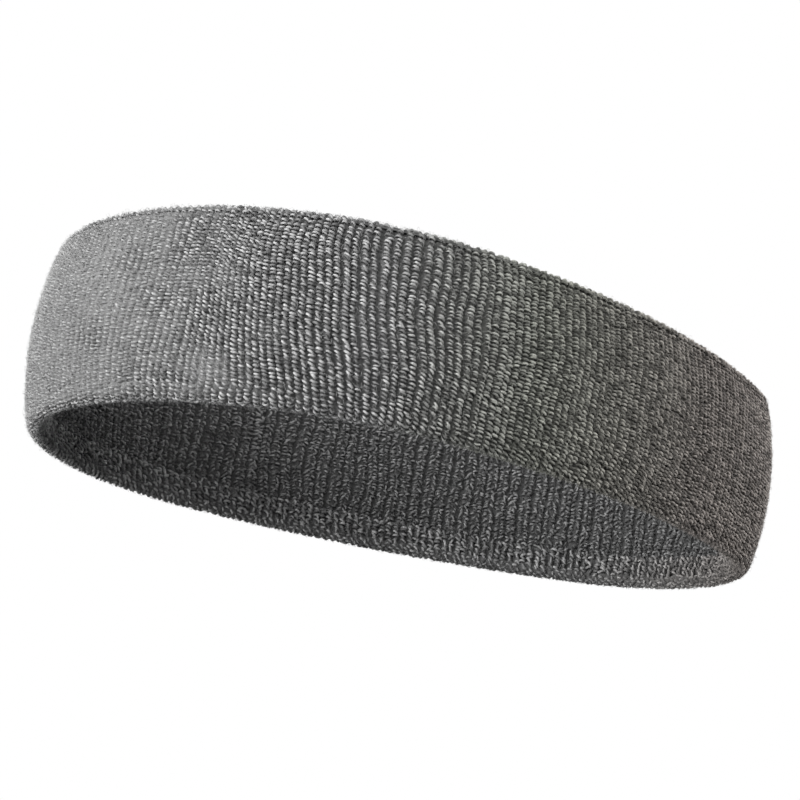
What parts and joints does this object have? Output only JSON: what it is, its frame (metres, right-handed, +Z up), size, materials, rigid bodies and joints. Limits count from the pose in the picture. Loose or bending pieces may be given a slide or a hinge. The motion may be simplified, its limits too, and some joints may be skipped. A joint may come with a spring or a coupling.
{
  "type": "sports headband",
  "caption": "Egg-shaped ring of looped terry knit, folded double with rounded upper and lower edges, worn round the head to soak up sweat.",
  "frame": {"origin": "bottom centre of the bounding box, on the plane the lower fold rests on", "axes": "+X towards the tighter curve at the forehead and along the band's length, +Y across the head, +Z up along the band's width"},
  "size_m": [0.2168, 0.158, 0.05],
  "materials": {
    "outer_terry": "heather grey terry loops",
    "inner_terry": "heather grey terry loops",
    "edge_terry": "heather grey terry loops, longer and loose",
    "ground_knit": "grey flat knit",
    "seam_thread": "grey sewing thread",
    "elastic": "covered rubber thread"
  },
  "bodies": {
    "root": {"outer_terry_pile": "outer_terry", "inner_terry_pile": "inner_terry", "top_edge_pile": "edge_terry", "bottom_edge_pile": "edge_terry", "ground_knit": "ground_knit", "seam_thread": "seam_thread", "seam_allowance": "ground_knit", "outer_elastic_threads": "elastic", "inner_elastic_threads": "elastic"}
  },
  "joints": []
}
